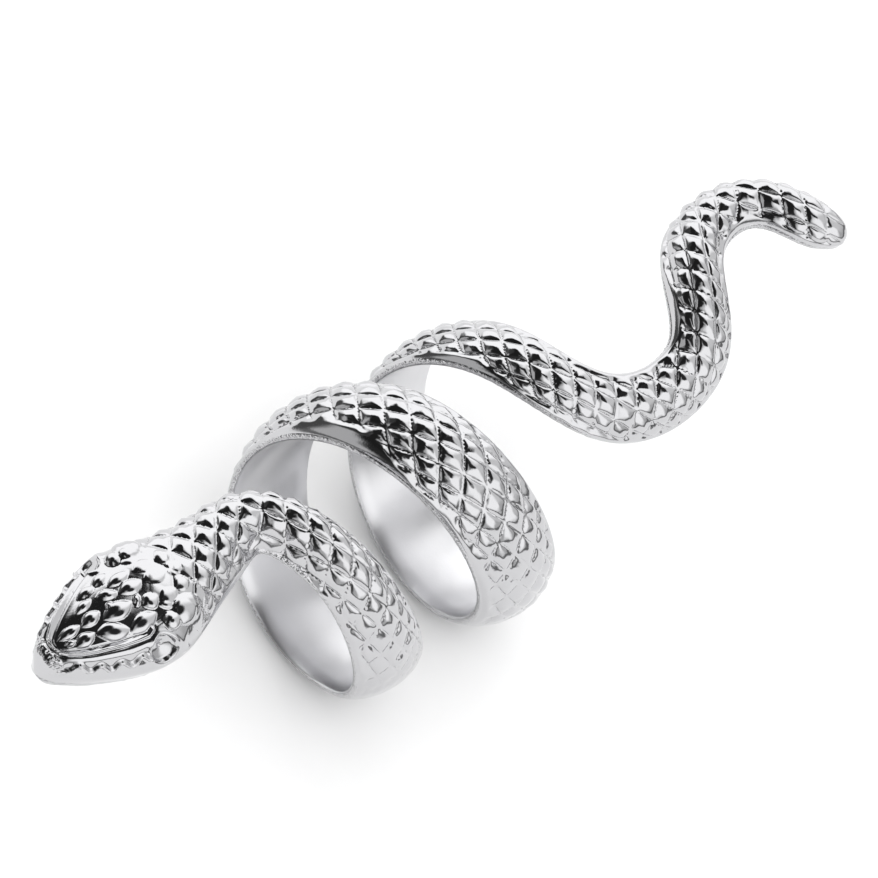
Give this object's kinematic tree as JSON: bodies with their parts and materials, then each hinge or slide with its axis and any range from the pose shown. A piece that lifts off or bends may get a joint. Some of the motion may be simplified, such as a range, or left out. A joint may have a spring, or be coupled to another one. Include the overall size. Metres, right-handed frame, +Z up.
{
  "type": "snake ring",
  "caption": "Cast metal snake ring: a scaled snake wound round the finger, with its broad head laid forward along the finger and its wavy tail laid back along it.",
  "frame": {"origin": "on the surface the ring lies on, under the middle of its box: the two worn flats on the palm side are at z = 0", "axes": "+X along the finger from the head's side to the tail's side, +Z up through the side that lies on the back of the finger"},
  "size_m": [0.072, 0.0218, 0.0227],
  "materials": {
    "plated_metal": "bright silver-tone plating over a polished zinc alloy casting"
  },
  "bodies": {
    "root": {"snake_ring": "plated_metal"}
  },
  "joints": []
}
